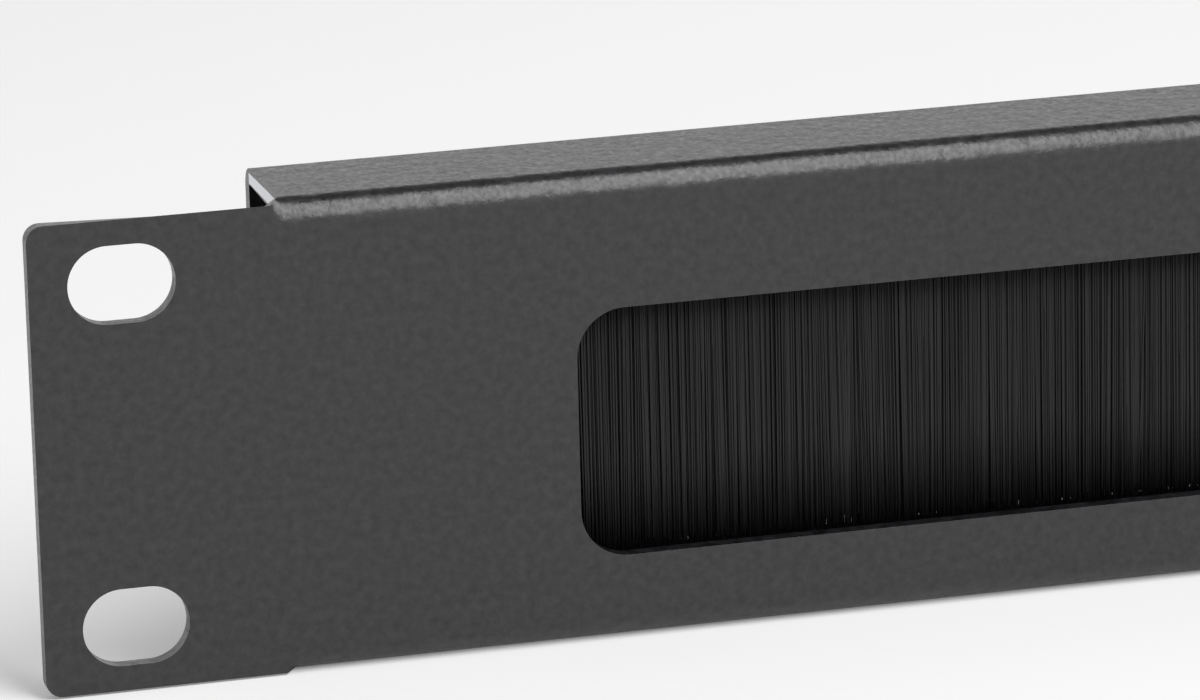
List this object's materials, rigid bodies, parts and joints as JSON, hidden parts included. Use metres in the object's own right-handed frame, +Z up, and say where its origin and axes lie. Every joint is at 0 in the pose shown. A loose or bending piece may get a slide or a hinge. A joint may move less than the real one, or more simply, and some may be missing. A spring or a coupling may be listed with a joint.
{
  "type": "rack brush strip panel",
  "caption": "Folded steel rack panel, one unit high, with slotted ears and a long rounded window closed by a row of hanging bristles.",
  "frame": {"origin": "middle of the front face, which is the middle of the four rack slots", "axes": "+X along the panel, +Y from the front face to the rear, +Z up"},
  "size_m": [0.482, 0.0155, 0.044],
  "materials": {
    "powder_coat": "black powder coat with a fine texture",
    "holder_black": "black anodised extrusion",
    "zinc_sheet": "galvanised",
    "zinc_wire": "galvanised wire",
    "bristle_nylon": "fine black nylon filament",
    "copper_plate": "copper plated",
    "zinc_plate": "bright zinc plate",
    "spring_zinc": "dark zinc plate"
  },
  "bodies": {
    "root": {"panel": "powder_coat", "brush_holder": "holder_black", "brush_back": "zinc_sheet", "core_wire": "zinc_wire", "bristles": "bristle_nylon", "weld_studs": "copper_plate", "flat_washers": "zinc_plate", "spring_washers": "spring_zinc", "hex_nuts": "zinc_plate"}
  },
  "joints": []
}
